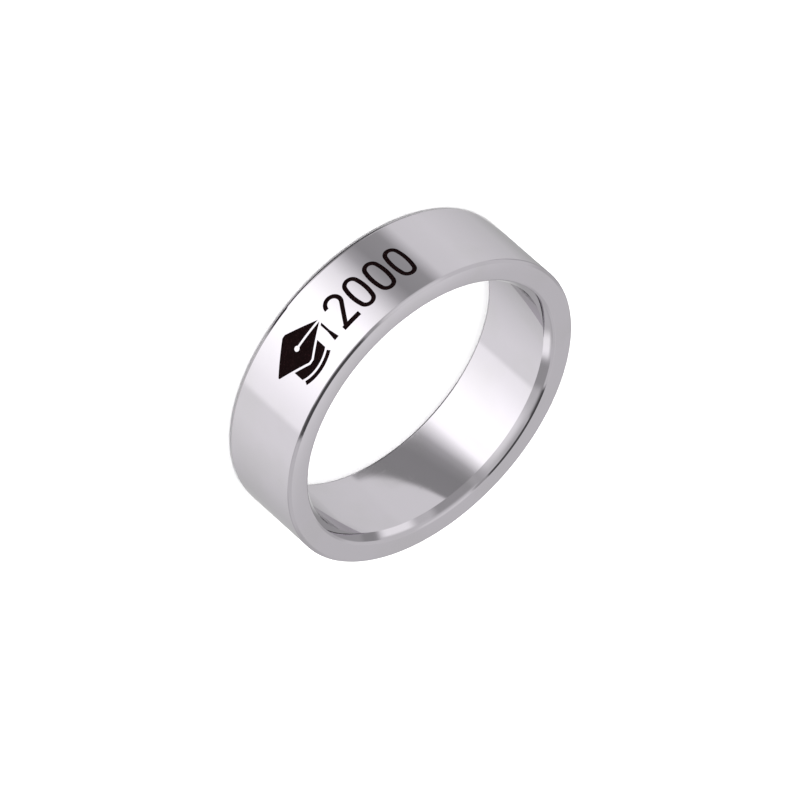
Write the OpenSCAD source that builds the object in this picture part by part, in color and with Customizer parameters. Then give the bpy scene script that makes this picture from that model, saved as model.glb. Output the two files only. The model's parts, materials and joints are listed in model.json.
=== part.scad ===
// Graduation ring: a flat steel band with a blackened engraving of a cap and a plain number.
// It lies on its side. +Z is the ring's axis, and the origin is the middle of the lower face.

/* [Band] */
// Diameter of the finger hole, ring size 9
hole_d = 19; // [16:0.1:22]
// Thickness of the band from the finger hole to the outside
wall = 1.9; // [1.6:0.1:2.4]
// Width of the band along the finger
band_w = 6; // [5.8:0.1:8]

/* [Edges] */
// Radius of the upper outside edge
upper_round = 0.35; // [0.08:0.01:0.4]
// Slope of that edge off the outside where it starts
upper_start = 40; // [5:5:45]
// Radius of the lower outside edge
lower_round = 0.34; // [0.1:0.01:0.4]
// Radius of the lower edge of the finger hole
hole_round = 0.12; // [0.05:0.01:0.3]
// Height of the comfort bevel round the upper end of the finger hole
bevel_h = 0.58; // [0.5:0.02:0.8]
// Slope of the bevel off the hole's wall where it starts
bevel_start = 27; // [10:1:35]
// Slope of the bevel off the hole's wall where it ends
bevel_end = 40; // [36:1:60]
// Radius of the soft edge between the bevel and the upper face
bevel_round = 0.26; // [0.06:0.01:0.35]

/* [Engraving] */
// Depth of the recesses in the outside
recess_depth = 0.15; // [0.1:0.01:0.25]
// How far the black fill stays below the outside
fill_sink = 0.04; // [0.02:0.01:0.06]
// Gap between the black fill and its recess
fill_gap = 0.01; // [0.005:0.005:0.02]

/* [Number] */
// Height of the figures
figure_h = 2.65; // [2:0.05:3]
// Width of the figures
figure_w = 1.36; // [1.2:0.02:1.5]
// Width of the figures' strokes
stroke = 0.28; // [0.16:0.01:0.3]
// Height of a two's foot stroke
foot_h = 0.32; // [0.16:0.01:0.36]
// Distance from one figure's middle to the next
pitch = 1.64; // [1.6:0.02:2]
// Distance from the upper face to the figures' feet
figure_rise = 1.4; // [1:0.05:2]
// Distance of the first figure's middle from the engraving's middle
first_figure = 0; // [0:0.05:0.5]

/* [Cap] */
// Width of the cap's board
board_w = 4.6; // [4:0.1:5]
// Height of the board, as a flat drawing
board_h = 2.8; // [2.4:0.1:3]
// Distance from the upper face to the board's middle
board_rise = 3.35; // [3.2:0.05:3.6]
// Distance of the cap's middle from the engraving's middle
cap_offset = 3.56; // [3.4:0.02:4]
// Width of the head part under the board
head_w = 2.5; // [2:0.1:2.8]
// Width of the plain metal lines that part the cap's pieces
line_w = 0.17; // [0.1:0.01:0.22]
// Width of the rim's stroke
rim_stroke = 0.26; // [0.18:0.01:0.3]

/* [Hidden] */
$fn = 180;
steel = [0.78, 0.77, 0.79];
black = [0.09, 0.06, 0.06];
hole_r = hole_d / 2;
band_r = hole_r + wall;
floor_r = band_r - recess_depth;
// Turn round the axis for each millimetre along the outside
turn_per_mm = 180 / (PI * band_r);
// The upper outside edge stops a little short of the face's own slope
upper_end = 85;
upper_centre = [band_r - upper_round * cos(upper_start), band_w - upper_round * sin(upper_end)];
// The bevel is one arc, and these are its radius and centre. Its soft edge is a second, tighter arc,
// which leans a little less where they meet, and the bevel's disc ends just above that place.
edge_kink = 1.5;
disc_past = 0.005;
edge_start = bevel_end - edge_kink;
bevel_rise = bevel_h - bevel_round * (1 - sin(edge_start));
bevel_r = bevel_rise / (sin(bevel_end) - sin(bevel_start));
bevel_centre = [hole_r + bevel_r * cos(bevel_start), band_w - bevel_h - bevel_r * sin(bevel_start)];
edge_centre = bevel_centre + bevel_r * [-cos(bevel_end), sin(bevel_end)]
    + bevel_round * [cos(edge_start), -sin(edge_start)];
// Radius of a zero's tips, and of the middle of a two's bowl
zero_tip_r = 0.44 * figure_w;
bowl_r = (figure_w - stroke) / 2;
// Where a two's hook ends round its bowl, and how far its neck turns off the bowl's tangent
hook_end = 176;
neck_kink = 1.5;
// The head part's lower edge, and the rim below it, are arcs round one centre
head_side = 1.6;
head_sag = 0.38;
head_r = (pow(head_w / 2, 2) + pow(head_sag, 2)) / (2 * head_sag);
head_centre = [0, head_r - head_side - head_sag];
button_r = 0.2;
// Tassel: cord, then a tuft that widens downwards, measured from the board's middle
cord_w = 0.14;
tuft_top = -1.05;
tuft_foot = -1.85;
tuft_w = 0.34;
blunt = 0.08;
past = 1;

// Corner of a profile between the point and the centre of the arc that rounds it
module corner_cut(centre, r, corner) {
    difference() {
        polygon([centre, [corner[0], centre[1]], corner, [centre[0], corner[1]]]);
        translate(centre) circle(r);
    }
}

// What the bevel takes off the hole's upper corner
module bevel_cut() {
    difference() {
        translate([hole_r - past, bevel_centre[1]])
            square([edge_centre[0] - hole_r + past, band_w - bevel_centre[1] + past]);
        intersection() {
            translate(bevel_centre) circle(bevel_r);
            square([band_r, band_w - bevel_h + bevel_rise + disc_past]);
        }
        translate(edge_centre) circle(bevel_round);
    }
}

// Half section of the band, with its rounded and bevelled edges
module band_profile() {
    difference() {
        translate([hole_r, 0]) square([wall, band_w]);
        corner_cut(upper_centre, upper_round, [band_r, band_w]);
        corner_cut([band_r - lower_round, lower_round], lower_round, [band_r, 0]);
        corner_cut([hole_r + hole_round, hole_round], hole_round, [hole_r, 0]);
        bevel_cut();
    }
}

// Part of a ring-shaped stroke, counter-clockwise from one angle to the other
module arc_stroke(r, w, from, to) {
    reach = 2 * (r + w);
    steps = 4;
    fan = [for (i = [0 : steps]) let (a = from + (to - from) * i / steps) reach * [cos(a), sin(a)]];
    intersection() {
        difference() {
            circle(r + w / 2);
            circle(r - w / 2);
        }
        polygon(concat([[0, 0]], fan));
    }
}

// Straight stroke from a point, at an angle
module straight_stroke(start, angle, length, w) {
    translate(start) rotate(angle) translate([0, -w / 2]) square([length, w]);
}

// Oval of four arcs, each running smoothly into the next
module oval(half_w, half_h, tip_r) {
    rise = half_h - tip_r;
    side_r = (pow(half_w, 2) + pow(rise, 2) - pow(tip_r, 2)) / (2 * (half_w - tip_r));
    join = rise * side_r / (side_r - tip_r);
    intersection() {
        translate([half_w - side_r, 0]) circle(side_r);
        translate([side_r - half_w, 0]) circle(side_r);
        translate([-half_w, -join]) square([2 * half_w, 2 * join]);
    }
    for (side = [-1, 1])
        translate([0, side * rise]) circle(tip_r);
}

// Figures stand on y = 0. Each outline grows by "grow" on every side.
module zero(grow) {
    inner = stroke + grow;
    translate([0, figure_h / 2])
        difference() {
            oval(figure_w / 2 + grow, figure_h / 2 + grow, zero_tip_r + grow);
            oval(figure_w / 2 - inner, figure_h / 2 - inner, zero_tip_r - inner);
        }
}

module two(grow) {
    w = stroke + 2 * grow;
    bowl = [0, figure_h - figure_w / 2];
    foot = [-0.37 * figure_w, stroke / 2];
    // The neck runs from the foot to the bowl, and meets it a little before its tangent would
    to_foot = foot - bowl;
    tangent_at = atan2(to_foot[1], to_foot[0]) + acos(bowl_r / norm(to_foot));
    join_at = tangent_at + neck_kink;
    neck = bowl + bowl_r * [cos(join_at), sin(join_at)] - foot;
    end_turn = grow / bowl_r * 180 / PI;
    intersection() {
        union() {
            translate(bowl) arc_stroke(bowl_r, w, join_at - neck_kink / 2, hook_end + end_turn);
            straight_stroke(foot - stroke * neck / norm(neck), atan2(neck[1], neck[0]),
                            norm(neck) + stroke, w);
            translate([-figure_w / 2 - grow, -grow]) square([figure_w, foot_h] + 2 * grow * [1, 1]);
        }
        translate([-figure_w / 2 - grow, -grow]) square([figure_w + 2 * grow, figure_h + 2 * grow]);
    }
}

// The cap's pieces, drawn from the board's middle
module board_shape(grow) {
    half = [board_w, board_h] / 2;
    size = half * (1 + grow * norm(half) / (half[0] * half[1]));
    clip = half + [grow - blunt, grow - blunt];
    intersection() {
        polygon([[size[0], 0], [0, size[1]], [-size[0], 0], [0, -size[1]]]);
        translate(-clip) square(2 * clip);
    }
}

// Board with the button and the cord left as plain metal
module board(grow) {
    difference() {
        board_shape(grow);
        circle(button_r - grow);
        straight_stroke([0, 0], 0, board_w, line_w - 2 * grow);
    }
}

// Head part, under the board
module head(grow) {
    w = head_w + 2 * grow;
    difference() {
        intersection() {
            translate([-w / 2, -board_h]) square([w, board_h]);
            translate(head_centre) circle(head_r + grow);
        }
        board_shape(line_w - grow);
    }
}

// Rim below the head part
module rim(grow) {
    mid_r = head_r + line_w + rim_stroke / 2;
    half_turn = asin(head_w / 2 / mid_r) + grow / mid_r * 180 / PI;
    translate(head_centre)
        arc_stroke(mid_r, rim_stroke + 2 * grow, -90 - half_turn, -90 + half_turn);
}

// Tassel, hanging below the board's right corner
module tassel(grow) {
    cord = cord_w / 2 + grow;
    tuft = tuft_w / 2 + grow;
    translate([board_w / 2 - tuft_w / 2, 0])
        difference() {
            polygon([[-cord, 0], [-cord, tuft_top], [-tuft, tuft_foot - grow],
                     [tuft, tuft_foot - grow], [cord, tuft_top], [cord, 0]]);
            translate([tuft_w / 2 - board_w / 2, 0]) board_shape(line_w - grow);
        }
}

// Raises a flat drawing through the outside. The drawing's x runs along the reading direction
// from the engraving's middle at -Y, and its y runs from the upper face to the lower one.
module through_outside(along, rise) {
    rotate([0, 0, -along * turn_per_mm])
        translate([0, past - band_r, band_w - rise])
            rotate([90, 180, 0])
                linear_extrude(2 * past)
                    children();
}

// One mark by its number: four pieces of the cap, then four figures
module mark(number, grow) {
    if (number < 4)
        through_outside(-cap_offset, board_rise) {
            if (number == 0) board(grow);
            if (number == 1) head(grow);
            if (number == 2) rim(grow);
            if (number == 3) tassel(grow);
        }
    else
        through_outside(first_figure + (number - 4) * pitch, figure_rise) {
            if (number == 4) two(grow);
            else zero(grow);
        }
}

// Recess of one mark, cut down to a floor with the band's curve
module recess(number) {
    difference() {
        mark(number, fill_gap);
        translate([0, 0, -past]) cylinder(h = band_w + 2 * past, r = floor_r);
    }
}

// Black fill of one mark, as a thin piece with the band's curve
module fill(number) {
    color(black)
        intersection() {
            mark(number, 0);
            difference() {
                cylinder(h = band_w, r = band_r - fill_sink);
                translate([0, 0, -past]) cylinder(h = band_w + 2 * past, r = floor_r + fill_gap);
            }
        }
}

module band() {
    color(steel)
        difference() {
            rotate_extrude() band_profile();
            for (number = [0 : 7])
                recess(number);
        }
}

module cap_board() { fill(0); }
module cap_head() { fill(1); }
module cap_rim() { fill(2); }
module cap_tassel() { fill(3); }
module figure_1() { fill(4); }
module figure_2() { fill(5); }
module figure_3() { fill(6); }
module figure_4() { fill(7); }

band();
cap_board();
cap_head();
cap_rim();
cap_tassel();
figure_1();
figure_2();
figure_3();
figure_4();
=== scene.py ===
"""Graduation ring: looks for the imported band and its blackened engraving. Metres, the CAD frame."""

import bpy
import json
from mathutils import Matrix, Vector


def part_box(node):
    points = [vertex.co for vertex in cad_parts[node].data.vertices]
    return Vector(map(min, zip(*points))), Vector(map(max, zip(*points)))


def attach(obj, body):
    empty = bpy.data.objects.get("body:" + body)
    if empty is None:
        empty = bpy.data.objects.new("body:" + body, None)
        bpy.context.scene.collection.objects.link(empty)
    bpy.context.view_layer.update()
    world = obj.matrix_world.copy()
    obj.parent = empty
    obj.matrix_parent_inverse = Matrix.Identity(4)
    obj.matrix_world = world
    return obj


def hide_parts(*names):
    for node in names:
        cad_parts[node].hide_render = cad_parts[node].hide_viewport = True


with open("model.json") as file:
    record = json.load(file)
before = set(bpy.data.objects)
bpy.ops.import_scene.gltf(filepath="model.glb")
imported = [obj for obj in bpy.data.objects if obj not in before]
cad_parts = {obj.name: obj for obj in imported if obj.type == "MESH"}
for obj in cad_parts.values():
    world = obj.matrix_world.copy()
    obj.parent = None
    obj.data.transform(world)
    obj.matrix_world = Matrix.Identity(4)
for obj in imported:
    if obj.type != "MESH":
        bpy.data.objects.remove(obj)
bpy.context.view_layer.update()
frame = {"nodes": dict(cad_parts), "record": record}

import json
import math

import bmesh
import bpy
from mathutils import Matrix, Vector

MM = 0.001
UP = Vector((0, 0, 1))
QUARTER = math.pi / 2

# The band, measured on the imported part, and its engraving's depth
NODES = frame["nodes"]
BORE_MOUNT = next(mount for mount in frame["record"]["mounts"] if mount["name"] == "finger_bore")
BAND_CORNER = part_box("band")[1]
BAND_R = BAND_CORNER.x
BAND_W = BAND_CORNER.z
HOLE_R = BORE_MOUNT["dims"]["r_mm"] * MM
RECESS_DEPTH = 0.15 * MM
RECESS_R = BAND_R - RECESS_DEPTH

# The source's edges: the upper and lower outside rounds, the hole's lower round, and the bevel with its
# soft edge. Slopes are those of the surface's normal, 0 level and 90 upright.
UPPER_ROUND = 0.35 * MM
UPPER_START = math.radians(40)
UPPER_END = math.radians(85)
LOWER_ROUND = 0.34 * MM
HOLE_ROUND = 0.12 * MM
BEVEL_H = 0.58 * MM
BEVEL_START = math.radians(27)
BEVEL_END = math.radians(40)
BEVEL_ROUND = 0.26 * MM
EDGE_START = math.radians(38.5)
BEVEL_RISE = BEVEL_H - BEVEL_ROUND * (1 - math.sin(EDGE_START))
BEVEL_R = BEVEL_RISE / (math.sin(BEVEL_END) - math.sin(BEVEL_START))

# Centres of the arcs in the half section: (radius, height)
BEVEL_CENTRE = (HOLE_R + BEVEL_R * math.cos(BEVEL_START),
                BAND_W - BEVEL_H - BEVEL_R * math.sin(BEVEL_START))
EDGE_CENTRE = (BEVEL_CENTRE[0] - BEVEL_R * math.cos(BEVEL_END) + BEVEL_ROUND * math.cos(EDGE_START),
               BAND_W - BEVEL_ROUND)
UPPER_CENTRE = (BAND_R - UPPER_ROUND * math.cos(UPPER_START), BAND_W - UPPER_ROUND * math.sin(UPPER_END))
LOWER_CENTRE = (BAND_R - LOWER_ROUND, LOWER_ROUND)
HOLE_CENTRE = (HOLE_R + HOLE_ROUND, HOLE_ROUND)

# How far polishing has tilted the upper face outwards, at the hole and at the outside
INNER_TILT = math.radians(0.4)
OUTER_TILT = math.radians(1.6)

# Segments round the band, and steps along each part of the half section
ROUND_COUNT = 240
OUTSIDE_STEPS = 14
FACE_STEPS = 8
EDGE_STEPS = 10
BEVEL_STEPS = 20
HOLE_STEPS = 8

# How far a vertex may lie off a surface that it belongs to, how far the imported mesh's chords may sag, and
# within what distance two vertices are one
SLACK = 0.004 * MM
CHORD_SLACK = 0.04 * MM
SAME_PLACE = 1e-6
# A face is on one of the band's circles, not a recess's side, when its normal points outwards by this
OUTWARD_SHARE = 0.99

# The steel's tints, clean and smudged, and its tint at grazing angles
STEEL_TINT = (0.632, 0.605, 0.645)
SMUDGE_TINT = (0.615, 0.592, 0.622)
GRAZING_TINT = (0.80, 0.80, 0.80, 1)
# Its roughness, clean and smudged, and what the grain, the worn edges and the scratches add
CLEAN_ROUGHNESS = 0.045
SMUDGE_ROUGHNESS = 0.075
GRAIN_ROUGHNESS = 0.012
WORN_ROUGHNESS = 0.06
SCRATCH_ROUGHNESS = 0.10
# The sizes of its patterns, and how far in from the edges the wear reaches
WAVE_SIZE = 5.0 * MM
SMUDGE_SIZE = 3.5 * MM
GRAIN_SIZE = 0.12 * MM
SCRATCH_SIZE = 4.0 * MM
WORN_WIDTH = 0.7 * MM
# The hairlines' pattern: its size round the band, in radii, and how fast it changes across for each metre
HAIRLINE_SIZE = 1 / 3
HAIRLINES_ACROSS = 2500.0
# From where to where a noise fades in as a smudge or as wear
SMUDGE_RANGE = (0.42, 0.68)
WORN_RANGE = (0.35, 0.7)
# Scratches in two directions: (turn in radians, stretch, size of the patches that have any)
SCRATCHES = ((0.5, (0.4, 5.0, 5.0), 1.7 * MM), (-0.9, (5.0, 0.5, 4.0), 2.3 * MM))
SCRATCH_LEAN = 0.6
SCRATCH_RANGE = (0.498, 0.502)
SCRATCH_SOFTNESS = 0.008
SCRATCH_PATCHES = (0.60, 0.66)
# The depths of the steel's relief
WAVE_DEPTH = 0.012 * MM
HAIRLINE_DEPTH = 0.0003 * MM
SCRATCH_DEPTH = 0.0006 * MM

# The enamel: tints and roughness, dark and pale, its shine, and its patterns' sizes and depth
ENAMEL_DARK = (0.0040, 0.0010, 0.0012)
ENAMEL_PALE = (0.0085, 0.0030, 0.0036)
ENAMEL_ROUGHNESS = (0.32, 0.52)
ENAMEL_SHINE = 0.02
ENAMEL_PATCH_SIZE = 0.6 * MM
ENAMEL_GRAIN_SIZE = 0.06 * MM
ENAMEL_GRAIN_DEPTH = 0.004 * MM

# Camera: the photograph's angle, with its roll, from a long lens
VIEW_AZIMUTH = math.radians(274.77)
VIEW_RISE = math.radians(32.8)
VIEW_ROLL = math.radians(131.62)
VIEW_DISTANCE = 50 * BAND_R
VIEW_OFFSET = (-1.982 * MM, 0.780 * MM)
LENS_MM = 411.5
SENSOR_MM = 36
CLIP_START = 0.01
CLIP_END = 10

# Level directions from the ring: towards the viewer, and to the side that the number runs to
TO_VIEWER = Vector((math.cos(VIEW_AZIMUTH), math.sin(VIEW_AZIMUTH), 0))
TO_READING = Vector((math.sin(VIEW_AZIMUTH), -math.cos(VIEW_AZIMUTH), 0))
TO_CAMERA = TO_VIEWER * math.cos(VIEW_RISE) + UP * math.sin(VIEW_RISE)

# The floor, flat out to the curve that turns it up into a wall, and the lamp above it
FLOOR_MIDDLE = 0.3
FLOOR_FLAT = 0.65
FLOOR_CURVE = 0.4
FLOOR_WALL = 1.0
FLOOR_COUNT = 96
CURVE_STEPS = 12
FLOOR_TINT = (0.9, 0.9, 0.9, 1)
FLOOR_ROUGHNESS = 0.9
LAMP_SIZE = 0.7
LAMP_HEIGHT = 0.8
LAMP_WATTS = 9

# The studio is laid out by the polished surface that mirrors each direction to the camera: its turn
# round the ring, 0 facing the viewer and + to the reading side, and its slope, 0 upright and 90 level.
# A brightness of 1 shows on the steel as a pale grey, and of 1.4 as white.
# These are the panels round the ring as upright metal shows them: (turn in degrees, brightness).
ROUND_PANELS = [
    (-90, 0.36), (-82, 0.57), (-60, 0.73), (-44, 0.84), (-35, 0.84), (-33, 1.06), (-28, 1.11),
    (-12, 1.42), (3, 1.42), (13, 1.00), (20, 0.43), (24, 0.30), (32, 0.34), (37, 0.72),
    (48, 0.76), (70, 0.67), (90, 0.34),
]
# Panels above them, each laid over those before it: (name, turns, slopes, brightness, softness of the
# turns and of the slopes)
UPPER_PANELS = [
    ("low light", (-200, 200), (5, 22), 1.0, 3, 3),
    ("left side", (-110, -36), (40, 84), 0.59, 3, 3),
    ("left lip", (-110, -58), (38, 49), 0.49, 4, 3),
    ("left rim", (-98, -76), (40, 80), 0.51, 5, 4),
    ("left wall", (-110, -35), (23, 39), 0.54, 2, 2),
    ("left window", (-62, -49.5), (23, 38), 1.06, 4, 2),
    ("left flag", (-48, -34), (23, 43), 0.34, 3, 2),
    ("ceiling", (-35, 5), (23, 40), 0.56, 3, 3),
    ("bright ceiling", (-24, 1), (23, 35), 0.88, 8, 6),
    ("ceiling's edge", (-20, -6), (38, 52), 0.46, 4, 4),
    ("middle", (4, 9), (23, 48), 0.42, 3, 3),
    ("right flag", (9, 29), (23, 40), 0.35, 3, 2),
    ("right side", (10, 110), (40, 84), 0.62, 3, 3),
    ("right lip", (64, 110), (38, 50), 0.46, 4, 3),
    ("right rim", (78, 98), (40, 82), 0.49, 5, 4),
    ("right wall", (30, 56), (23, 38), 0.56, 4, 2),
    ("right window", (38.5, 54), (23, 38), 0.98, 3, 2),
    ("right corner", (56, 110), (23, 42), 0.37, 2, 2),
    ("dark corner", (57, 65), (23, 42), 0.29, 2, 2),
    ("overhead flag", (-36, 4), (50, 83), 0.07, 1.5, 3),
    ("flag's foot", (-36, -23), (40, 52), 0.18, 2, 3),
    ("flag's end", (4, 11), (46, 76), 0.36, 2, 3),
    ("overhead light", (12, 36), (54, 82), 0.73, 3, 5),
]
# Brightness where no upper panel is, and the slopes over which they take over from those round the ring
UPPER_BASE = 0.60
UPPER_SLOPES = (1, 9)
# Brightness below the ring, at the sides and between two turns towards the viewer, and the slopes over
# which the panels round the ring take over from it
BELOW = 0.62
BELOW_VIEWER = 0.03
BELOW_TURNS = (-15, 36)
BELOW_SOFTNESS = 4
BELOW_SLOPES = (-11, -7)
# What the upper face mirrors: the slopes where it starts, and two levels by the direction's own rise
FACE_SLOPES = (84, 88)
FACE_RISES = (33, 37)
FACE_LOW = 0.60
FACE_HIGH = 0.78
# The most that a ramp of panels can show, and how much brighter the studio is, which the steel takes back
PANEL_TOP = 2.0
PANEL_GAIN = 1.21

# The cards of light: their segments, and for each its turns in degrees, its radii and its height
CARD_COUNT = 64
BORE_CARD_TURNS = (-10, 155)
BORE_CARD_INNER = 16.5 * MM
BORE_CARD_OUTER = 31 * MM
BORE_CARD_HEIGHT = -17 * MM
BEVEL_CARD_READING = (68, 130)
BEVEL_CARD_OTHER = (-130, -68)
BEVEL_CARD_INNER = 8.0 * MM
BEVEL_CARD_OUTER = HOLE_R - SLACK
BEVEL_CARD_HEIGHT = BAND_W - BEVEL_H - SLACK
# The bore card's brightness by the share of the way to the reading side, and the one level that it
# changes to over two turns
BORE_CARD_STOPS = [
    (0.0, 1.38), (0.05, 1.32), (0.12, 0.96), (0.16, 0.78), (0.23, 0.45), (0.32, 0.31),
    (0.42, 0.26), (0.65, 0.27), (0.685, 0.74), (1.0, 0.74),
]
BORE_CARD_END_TURNS = (math.radians(97), math.radians(104))
BORE_CARD_END = 0.72
# The bevel cards' brightness: at the other side, at the reading side, and nearer to the viewer
BEVEL_OTHER = 0.36
BEVEL_READING = 0.47
BEVEL_NEAR = 0.60
BEVEL_NEAR_START = (0.5 * MM, 2.5 * MM)


def add_camera():
    level_right = UP.cross(TO_CAMERA).normalized()
    level_up = TO_CAMERA.cross(level_right)
    right = level_right * math.cos(VIEW_ROLL) + level_up * math.sin(VIEW_ROLL)
    up = level_up * math.cos(VIEW_ROLL) - level_right * math.sin(VIEW_ROLL)
    data = bpy.data.cameras.new("camera")
    data.lens = LENS_MM
    data.sensor_width = SENSOR_MM
    data.clip_start = CLIP_START
    data.clip_end = CLIP_END
    camera = bpy.data.objects.new("camera", data)
    bpy.context.scene.collection.objects.link(camera)
    place = Vector((0, 0, BAND_W)) + TO_CAMERA * VIEW_DISTANCE
    place += right * VIEW_OFFSET[0] + up * VIEW_OFFSET[1]
    camera.matrix_world = Matrix((
        (right.x, up.x, TO_CAMERA.x, place.x),
        (right.y, up.y, TO_CAMERA.y, place.y),
        (right.z, up.z, TO_CAMERA.z, place.z),
        (0, 0, 0, 1)))
    bpy.context.scene.camera = camera


class Tree:
    """Short ways to build a node tree. Of a mix node's sockets, 2 and 3 take numbers, 6 and 7 colours."""

    def __init__(self, owner):
        owner.use_nodes = True
        self.tree = owner.node_tree
        self.tree.nodes.clear()

    def node(self, kind, **settings):
        made = self.tree.nodes.new(kind)
        for name, value in settings.items():
            setattr(made, name, value)
        return made

    def put(self, socket, value):
        if isinstance(value, bpy.types.NodeSocket):
            self.tree.links.new(value, socket)
        else:
            socket.default_value = value

    def show(self, shader, output="ShaderNodeOutputMaterial"):
        self.put(self.node(output).inputs["Surface"], shader.outputs[0])

    def math(self, operation, a, b=0.0, clamp=False):
        made = self.node("ShaderNodeMath", operation=operation, use_clamp=clamp)
        self.put(made.inputs[0], a)
        self.put(made.inputs[1], b)
        return made.outputs[0]

    def vector(self, operation, a, b=(0, 0, 0)):
        made = self.node("ShaderNodeVectorMath", operation=operation)
        self.put(made.inputs[0], a)
        self.put(made.inputs[1], b)
        return made.outputs["Value" if operation in ("DOT_PRODUCT", "LENGTH") else "Vector"]

    def dot(self, a, b):
        return self.vector("DOT_PRODUCT", a, b)

    def degrees(self, function, a, b=0.0):
        return self.math("MULTIPLY", self.math(function, a, b), 180 / math.pi)

    def mix(self, share, a, b):
        made = self.node("ShaderNodeMix", data_type="FLOAT")
        self.put(made.inputs[0], share)
        self.put(made.inputs[2], a)
        self.put(made.inputs[3], b)
        return made.outputs[0]

    def step(self, value, low, high):
        """0 below low, 1 above high, smooth between."""
        made = self.node("ShaderNodeMapRange", interpolation_type="SMOOTHSTEP")
        self.put(made.inputs[0], value)
        made.inputs[1].default_value = low
        made.inputs[2].default_value = high
        return made.outputs[0]

    def between(self, value, low, high, soft):
        """1 from low to high, and 0 outside, with both ends softened."""
        rising = self.step(value, low - soft, low + soft)
        falling = self.step(value, high - soft, high + soft)
        return self.math("SUBTRACT", rising, falling)

    def noise(self, place, size, detail, extra=None):
        """Noise from 0 to 1, of about this size. With extra, a fourth coordinate, it is 4D."""
        made = self.node("ShaderNodeTexNoise", noise_dimensions="4D" if extra else "3D")
        self.put(made.inputs["Vector"], place)
        made.inputs["Scale"].default_value = 1 / size
        made.inputs["Detail"].default_value = detail
        if extra:
            self.put(made.inputs["W"], extra)
        return made.outputs[0]

    def bump(self, height, distance, normal=None):
        made = self.node("ShaderNodeBump")
        made.inputs["Distance"].default_value = distance
        self.put(made.inputs["Height"], height)
        if normal:
            self.put(made.inputs["Normal"], normal)
        return made.outputs[0]

    def tint(self, share, a, b):
        made = self.node("ShaderNodeMix", data_type="RGBA")
        self.put(made.inputs[0], share)
        self.put(made.inputs[6], (*a, 1))
        self.put(made.inputs[7], (*b, 1))
        return made.outputs[2]

    def ramp(self, share, stops):
        """Brightness, up to PANEL_TOP, by a share from 0 to 1. Stops are (share, brightness)."""
        made = self.node("ShaderNodeValToRGB")
        elements = made.color_ramp.elements
        elements[0].position = stops[0][0]
        elements[-1].position = stops[-1][0]
        for place, _ in stops[1:-1]:
            elements.new(place)
        for element, (_, level) in zip(elements, stops):
            grey = level / PANEL_TOP
            element.color = (grey, grey, grey, 1)
        self.put(made.inputs[0], share)
        shade = self.node("ShaderNodeRGBToBW")
        self.put(shade.inputs[0], made.outputs[0])
        return self.math("MULTIPLY", shade.outputs[0], PANEL_TOP)


def add_world():
    world = bpy.data.worlds.new("studio")
    bpy.context.scene.world = world
    t = Tree(world)
    direction = t.node("ShaderNodeTexCoord").outputs["Generated"]
    half = t.vector("NORMALIZE", t.vector("ADD", direction, TO_CAMERA))
    turn = t.degrees("ARCTAN2", t.dot(half, TO_READING), t.dot(half, TO_VIEWER))
    slope = t.degrees("ARCSINE", t.dot(half, UP))
    rise = t.degrees("ARCSINE", t.dot(direction, UP))
    # The ramp runs from a turn of -90 to one of 90
    share = t.math("MULTIPLY_ADD", turn, 1 / 180)
    share.node.inputs[2].default_value = 0.5
    low = t.ramp(share, [(degrees / 180 + 0.5, level) for degrees, level in ROUND_PANELS])
    below = t.mix(t.between(turn, *BELOW_TURNS, BELOW_SOFTNESS), BELOW, BELOW_VIEWER)
    low = t.mix(t.step(slope, *BELOW_SLOPES), below, low)
    high = UPPER_BASE
    for _, turns, slopes, level, turn_soft, slope_soft in UPPER_PANELS:
        across = t.between(turn, *turns, turn_soft)
        inside = t.math("MULTIPLY", across, t.between(slope, *slopes, slope_soft))
        high = t.mix(inside, high, level)
    light = t.mix(t.step(slope, *UPPER_SLOPES), low, high)
    face_side = t.mix(t.step(rise, *FACE_RISES), FACE_LOW, FACE_HIGH)
    light = t.mix(t.step(slope, *FACE_SLOPES), light, face_side)
    background = t.node("ShaderNodeBackground")
    background.inputs["Color"].default_value = (1, 1, 1, 1)
    t.put(background.inputs["Strength"], t.math("MULTIPLY", light, PANEL_GAIN))
    t.show(background, "ShaderNodeOutputWorld")


def new_object(name, vertices, faces):
    mesh = bpy.data.meshes.new(name)
    mesh.from_pydata(vertices, [], faces)
    mesh.update()
    obj = bpy.data.objects.new(name, mesh)
    bpy.context.scene.collection.objects.link(obj)
    return obj


def add_floor():
    """Pale floor that turns up into a wall all round. The steel doesn't mirror it."""
    profile = [(FLOOR_MIDDLE, 0.0), (FLOOR_FLAT, 0.0)]
    for k in range(1, CURVE_STEPS + 1):
        turn = QUARTER * k / CURVE_STEPS
        profile.append((FLOOR_FLAT + FLOOR_CURVE * math.sin(turn), FLOOR_CURVE * (1 - math.cos(turn))))
    profile.append((FLOOR_FLAT + FLOOR_CURVE, FLOOR_WALL))
    vertices = [(0, 0, 0)]
    for r, z in profile:
        vertices += [outward(math.tau * k / FLOOR_COUNT) * r + UP * z for k in range(FLOOR_COUNT)]
    faces = [(0, 1 + k, 1 + (k + 1) % FLOOR_COUNT) for k in range(FLOOR_COUNT)]
    for ring in range(len(profile) - 1):
        a = 1 + ring * FLOOR_COUNT
        b = a + FLOOR_COUNT
        for k in range(FLOOR_COUNT):
            n = (k + 1) % FLOOR_COUNT
            faces.append((a + k, b + k, b + n, a + n))
    floor = new_object("floor", vertices, faces)
    for face in floor.data.polygons:
        face.use_smooth = True
    material = bpy.data.materials.new("floor_paint")
    t = Tree(material)
    shader = t.node("ShaderNodeBsdfPrincipled")
    shader.inputs["Base Color"].default_value = FLOOR_TINT
    shader.inputs["Roughness"].default_value = FLOOR_ROUGHNESS
    shader.inputs["Specular IOR Level"].default_value = 0.0
    t.show(shader)
    floor.data.materials.append(material)
    floor.visible_glossy = False


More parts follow.
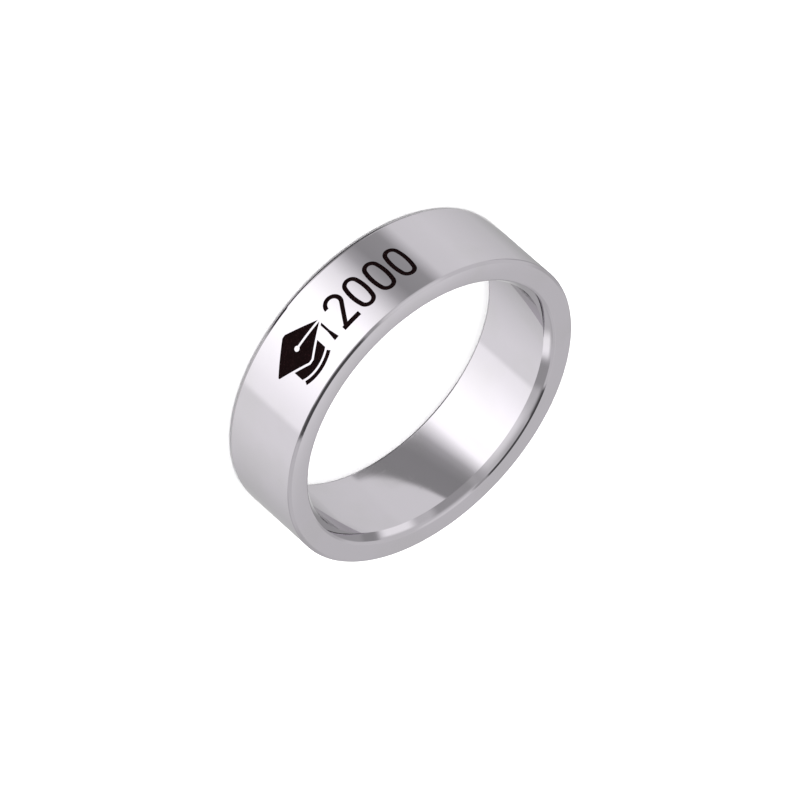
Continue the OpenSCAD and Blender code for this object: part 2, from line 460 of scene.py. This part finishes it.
def add_lamp():
    """Round lamp overhead that lights the floor. The steel doesn't mirror it."""
    data = bpy.data.lights.new("softbox", "AREA")
    data.shape = "DISK"
    data.size = LAMP_SIZE
    data.energy = LAMP_WATTS
    lamp = bpy.data.objects.new("softbox", data)
    bpy.context.scene.collection.objects.link(lamp)
    lamp.location = (0, 0, LAMP_HEIGHT)
    lamp.visible_glossy = False


def outward(turn):
    return Vector((math.cos(turn), math.sin(turn), 0))


def lean(radial, slope):
    return radial * math.cos(slope) + UP * math.sin(slope)


def arc_rings(centre, radius, start, end, count):
    """Rings along an arc of the half section: radius, height and the normal's slope for each."""
    rings = []
    for k in range(count + 1):
        slope = start + (end - start) * k / count
        rings.append((centre[0] + radius * math.cos(slope), centre[1] + radius * math.sin(slope), slope))
    return rings


def face_rings():
    """Rings across the upper face, from the outside to the hole."""
    outer = UPPER_CENTRE[0] + UPPER_ROUND * math.cos(UPPER_END)
    inner = EDGE_CENTRE[0]
    rings = []
    for k in range(FACE_STEPS + 1):
        share = k / FACE_STEPS
        tilt = OUTER_TILT + (INNER_TILT - OUTER_TILT) * share
        rings.append((outer + (inner - outer) * share, BAND_W, QUARTER - tilt))
    return rings


def upper_runs():
    """The half section from the wall's upper end to the bore, in runs that are smooth in themselves."""
    edge = arc_rings(EDGE_CENTRE, BEVEL_ROUND, QUARTER, math.pi - EDGE_START, EDGE_STEPS)
    bevel = arc_rings(BEVEL_CENTRE, BEVEL_R, math.pi - BEVEL_END, math.pi - BEVEL_START, BEVEL_STEPS)
    return [
        arc_rings(UPPER_CENTRE, UPPER_ROUND, UPPER_START, UPPER_END, OUTSIDE_STEPS),
        face_rings(),
        edge[:-1] + bevel,
    ]


def lower_runs():
    """The half section from the bore's lower end to the wall's lower end."""
    down = 3 * QUARTER
    return [
        arc_rings(HOLE_CENTRE, HOLE_ROUND, math.pi, down, HOLE_STEPS),
        [(HOLE_CENTRE[0], 0, down), (LOWER_CENTRE[0], 0, down)],
        arc_rings(LOWER_CENTRE, LOWER_ROUND, -QUARTER, 0, OUTSIDE_STEPS),
    ]


class Lathe:
    """Vertices, and faces as lists of corners, each a vertex with its own normal. Each face has a slot, 0
    for steel and 1 for enamel."""

    def __init__(self):
        self.vertices = []
        self.faces = []
        self.slots = []

    def add(self, corners, slot=0):
        self.faces.append(corners)
        self.slots.append(slot)

    def ring(self, turns, r, z):
        start = len(self.vertices)
        self.vertices += [outward(turn) * r + UP * z for turn in turns]
        return list(range(start, len(self.vertices)))

    def runs(self, turns, runs, first=None, last=None):
        """Turns the runs about the axis. They start and end on rings of vertices that are already there,
        where these are given. Returns the first and the last ring."""
        previous = first
        for number, run in enumerate(runs):
            for k in range(len(run)):
                if k == 0 and previous:
                    continue
                r, z, slope = run[k]
                closes = last and number == len(runs) - 1 and k == len(run) - 1
                current = last if closes else self.ring(turns, r, z)
                if k:
                    self.strip(turns, previous, run[k - 1][2], current, slope)
                else:
                    first = current
                previous = current
        return first, previous

    def strip(self, turns, upper, upper_slope, lower, lower_slope):
        for k in range(len(turns)):
            n = (k + 1) % len(turns)
            here, there = outward(turns[k]), outward(turns[n])
            self.add([(upper[k], lean(here, upper_slope)), (upper[n], lean(there, upper_slope)),
                      (lower[n], lean(there, lower_slope)), (lower[k], lean(here, lower_slope))])

    def bore(self, upper_turns, upper, lower_turns, lower):
        """Triangles between two rings whose vertices stand at different turns."""
        above = list(zip(upper_turns, upper))
        below = list(zip(lower_turns, lower))
        above.append((above[0][0] + math.tau, above[0][1]))
        below.append((below[0][0] + math.tau, below[0][1]))
        last_above = len(above) - 1
        last_below = len(below) - 1
        a = b = 0
        while a < last_above or b < last_below:
            step_above = b == last_below or (a < last_above and above[a + 1][0] < below[b + 1][0])
            third = above[a + 1] if step_above else below[b + 1]
            corners = [above[a], third, below[b]]
            self.add([(index, -outward(turn)) for turn, index in corners])
            a += step_above
            b += not step_above


def cut(bm, place, normal):
    everything = bm.verts[:] + bm.edges[:] + bm.faces[:]
    bmesh.ops.bisect_plane(bm, geom=everything, dist=SAME_PLACE, plane_co=place, plane_no=normal)


def engraved_wall(lathe):
    """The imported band's outside with its recesses, cut finer and pushed out to the true circles."""
    bm = bmesh.new()
    bm.from_mesh(NODES["band"].data)
    bmesh.ops.remove_doubles(bm, verts=bm.verts[:], dist=SAME_PLACE)
    wall_top = UPPER_CENTRE[1] + UPPER_ROUND * math.sin(UPPER_START)
    inside = [v for v in bm.verts if v.co.xy.length < RECESS_R - CHORD_SLACK
              or not LOWER_ROUND - SLACK < v.co.z < wall_top + SLACK]
    bmesh.ops.delete(bm, geom=inside, context="VERTS")
    true_r = bm.verts.layers.float.new("true_r")
    for v in bm.verts:
        v[true_r] = v.co.xy.length
    for k in range(ROUND_COUNT // 2):
        turn = math.tau * (k + 0.5) / ROUND_COUNT
        cut(bm, (0, 0, 0), (-math.sin(turn), math.cos(turn), 0))
    for v in bm.verts:
        v.co.xy *= v[true_r] / v.co.xy.length
    bm.normal_update()
    bm.verts.index_update()
    lathe.vertices += [v.co.copy() for v in bm.verts]
    for face in bm.faces:
        radial = Vector((*face.calc_center_median().xy, 0)).normalized()
        turned = face.normal.dot(radial) > OUTWARD_SHARE
        # A recess's floor and sides are blackened with its fill
        in_recess = max(v.co.xy.length for v in face.verts) < BAND_R - SLACK or not turned
        corners = [(v.index, Vector((*v.co.xy, 0)).normalized() if turned else face.normal.copy())
                   for v in face.verts]
        lathe.add(corners, int(in_recess))
    border = {v for edge in bm.edges if edge.is_boundary for v in edge.verts}
    rims = []
    for side in (1, -1):
        rim = [(math.atan2(v.co.y, v.co.x) % math.tau, v.index) for v in border
               if (v.co.z - BAND_W / 2) * side > 0]
        rims.append(sorted(rim))
    bm.free()
    return rims


def fine_band():
    """The band turned from the source's half section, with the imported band's engraved outside."""
    lathe = Lathe()
    upper_rim, lower_rim = engraved_wall(lathe)
    upper_turns = [turn for turn, _ in upper_rim]
    lower_turns = [turn for turn, _ in lower_rim]
    _, bore_top = lathe.runs(upper_turns, upper_runs(), first=[index for _, index in upper_rim])
    bore_foot, _ = lathe.runs(lower_turns, lower_runs(), last=[index for _, index in lower_rim])
    lathe.bore(upper_turns, bore_top, lower_turns, bore_foot)
    faces = [[index for index, _ in corners] for corners in lathe.faces]
    piece = new_object("band_metal", lathe.vertices, faces)
    mesh = piece.data
    mesh.polygons.foreach_set("use_smooth", [True] * len(mesh.polygons))
    mesh.polygons.foreach_set("material_index", lathe.slots)
    mesh.normals_split_custom_set([list(normal) for corners in lathe.faces for _, normal in corners])
    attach(piece, "root")
    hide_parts("band")
    return piece


def steel_material():
    """Mirror-polished steel: hairlines round the band, with smudges, fine scratches and worn edges."""
    material = bpy.data.materials.new("polished_steel")
    t = Tree(material)
    place = t.node("ShaderNodeTexCoord").outputs["Object"]
    parts = t.node("ShaderNodeSeparateXYZ")
    t.put(parts.inputs[0], place)
    x, y, z = parts.outputs
    radius = t.vector("LENGTH", t.vector("MULTIPLY", place, (1, 1, 0)))
    # Round the band the pattern changes slowly, across it quickly
    round_band = t.node("ShaderNodeCombineXYZ")
    t.put(round_band.inputs[0], t.math("DIVIDE", x, radius))
    t.put(round_band.inputs[1], t.math("DIVIDE", y, radius))
    t.put(round_band.inputs[2], t.math("MULTIPLY", z, HAIRLINES_ACROSS))
    across_face = t.math("MULTIPLY", radius, HAIRLINES_ACROSS)
    hairlines = t.noise(round_band.outputs[0], HAIRLINE_SIZE, detail=3.0, extra=across_face)
    waves = t.noise(place, WAVE_SIZE, detail=1.0)
    smudges = t.step(t.noise(place, SMUDGE_SIZE, detail=3.0), *SMUDGE_RANGE)
    grain = t.noise(place, GRAIN_SIZE, detail=2.0)
    # Scratches are short pieces of the lines where a stretched noise passes its middle
    scratches = 0.0
    for turn, stretch, patch_size in SCRATCHES:
        mapped = t.node("ShaderNodeMapping")
        t.put(mapped.inputs["Vector"], place)
        mapped.inputs["Rotation"].default_value = (turn, SCRATCH_LEAN * turn, turn)
        mapped.inputs["Scale"].default_value = stretch
        stretched = t.noise(mapped.outputs[0], SCRATCH_SIZE, detail=1.0)
        line = t.between(stretched, *SCRATCH_RANGE, SCRATCH_SOFTNESS)
        patches = t.step(t.noise(place, patch_size, detail=1.0), *SCRATCH_PATCHES)
        scratches = t.math("ADD", scratches, t.math("MULTIPLY", line, patches), clamp=True)
    # The edges, where z and the radius are both near the section's outside, are worn a little duller
    worn = t.step(grain, *WORN_RANGE)
    for value, low, high in ((z, 0, BAND_W), (radius, HOLE_R, BAND_R)):
        half = (high - low) / 2
        off_middle = t.math("ABSOLUTE", t.math("SUBTRACT", value, (high + low) / 2))
        worn = t.math("MULTIPLY", worn, t.step(off_middle, half - WORN_WIDTH, half))
    roughness = t.mix(smudges, CLEAN_ROUGHNESS, SMUDGE_ROUGHNESS)
    patterns = ((grain, GRAIN_ROUGHNESS), (worn, WORN_ROUGHNESS), (scratches, SCRATCH_ROUGHNESS))
    for pattern, rougher in patterns:
        roughness = t.math("ADD", roughness, t.math("MULTIPLY", pattern, rougher))
    normal = t.bump(waves, WAVE_DEPTH)
    normal = t.bump(hairlines, HAIRLINE_DEPTH, normal)
    normal = t.bump(scratches, SCRATCH_DEPTH, normal)
    shader = t.node("ShaderNodeBsdfPrincipled")
    shader.inputs["Metallic"].default_value = 1.0
    shader.inputs["Specular Tint"].default_value = GRAZING_TINT
    t.put(shader.inputs["Base Color"], t.tint(smudges, STEEL_TINT, SMUDGE_TINT))
    t.put(shader.inputs["Roughness"], roughness)
    t.put(shader.inputs["Normal"], normal)
    t.show(shader)
    return material


def enamel_material():
    """Satin black enamel with a fine grain and paler, duller patches."""
    material = bpy.data.materials.new("black_enamel")
    t = Tree(material)
    place = t.node("ShaderNodeTexCoord").outputs["Object"]
    patches = t.noise(place, ENAMEL_PATCH_SIZE, detail=3.0)
    grain = t.noise(place, ENAMEL_GRAIN_SIZE, detail=2.0)
    shader = t.node("ShaderNodeBsdfPrincipled")
    shader.inputs["Specular IOR Level"].default_value = ENAMEL_SHINE
    t.put(shader.inputs["Base Color"], t.tint(patches, ENAMEL_DARK, ENAMEL_PALE))
    t.put(shader.inputs["Roughness"], t.mix(patches, *ENAMEL_ROUGHNESS))
    t.put(shader.inputs["Normal"], t.bump(grain, ENAMEL_GRAIN_DEPTH))
    t.show(shader)
    return material


def arc_card(name, turns, inner, outer, height, level):
    """Level card of light that only polished metal mirrors. Its brightness is level(tree, place)."""
    vertices = []
    for k in range(CARD_COUNT + 1):
        turn = math.radians(turns[0] + (turns[1] - turns[0]) * k / CARD_COUNT)
        flat = TO_VIEWER * math.cos(turn) + TO_READING * math.sin(turn)
        vertices += [flat * inner + UP * height, flat * outer + UP * height]
    faces = [(2 * k, 2 * k + 1, 2 * k + 3, 2 * k + 2) for k in range(CARD_COUNT)]
    card = new_object(name, vertices, faces)
    material = bpy.data.materials.new(name + "_light")
    t = Tree(material)
    place = t.node("ShaderNodeNewGeometry").outputs["Position"]
    light = t.node("ShaderNodeEmission")
    t.put(light.inputs["Strength"], t.math("MULTIPLY", level(t, place), PANEL_GAIN))
    t.show(light)
    card.data.materials.append(material)
    card.visible_camera = False
    card.visible_diffuse = False
    card.visible_shadow = False


def bore_light(t, place):
    """What the bore mirrors, from bright at the viewer's side to dark and grey at the reading side."""
    share = t.math("MULTIPLY", t.dot(place, TO_READING), 1 / BORE_CARD_OUTER, clamp=True)
    turn = t.math("ARCTAN2", t.dot(place, TO_READING), t.dot(place, TO_VIEWER))
    return t.mix(t.step(turn, *BORE_CARD_END_TURNS), t.ramp(share, BORE_CARD_STOPS), BORE_CARD_END)


def bevel_light(t, place):
    """What the bevel mirrors at the ring's left and right, where it looks down into the hole."""
    reading_side = t.step(t.dot(place, TO_READING), -MM, MM)
    level = t.mix(reading_side, BEVEL_OTHER, BEVEL_READING)
    return t.mix(t.step(t.dot(place, TO_VIEWER), *BEVEL_NEAR_START), level, BEVEL_NEAR)


add_camera()
add_world()
add_floor()
add_lamp()
arc_card("bore_card", BORE_CARD_TURNS, BORE_CARD_INNER, BORE_CARD_OUTER, BORE_CARD_HEIGHT, bore_light)
for name, turns in (("bevel_card_reading", BEVEL_CARD_READING), ("bevel_card_other", BEVEL_CARD_OTHER)):
    arc_card(name, turns, BEVEL_CARD_INNER, BEVEL_CARD_OUTER, BEVEL_CARD_HEIGHT, bevel_light)

steel = steel_material()
enamel = enamel_material()
for name, node in NODES.items():
    node.data.materials.clear()
    node.data.materials.append(steel if name == "band" else enamel)
band = fine_band()
band.data.materials.append(steel)
band.data.materials.append(enamel)

bpy.context.scene.view_settings.view_transform = "Standard"
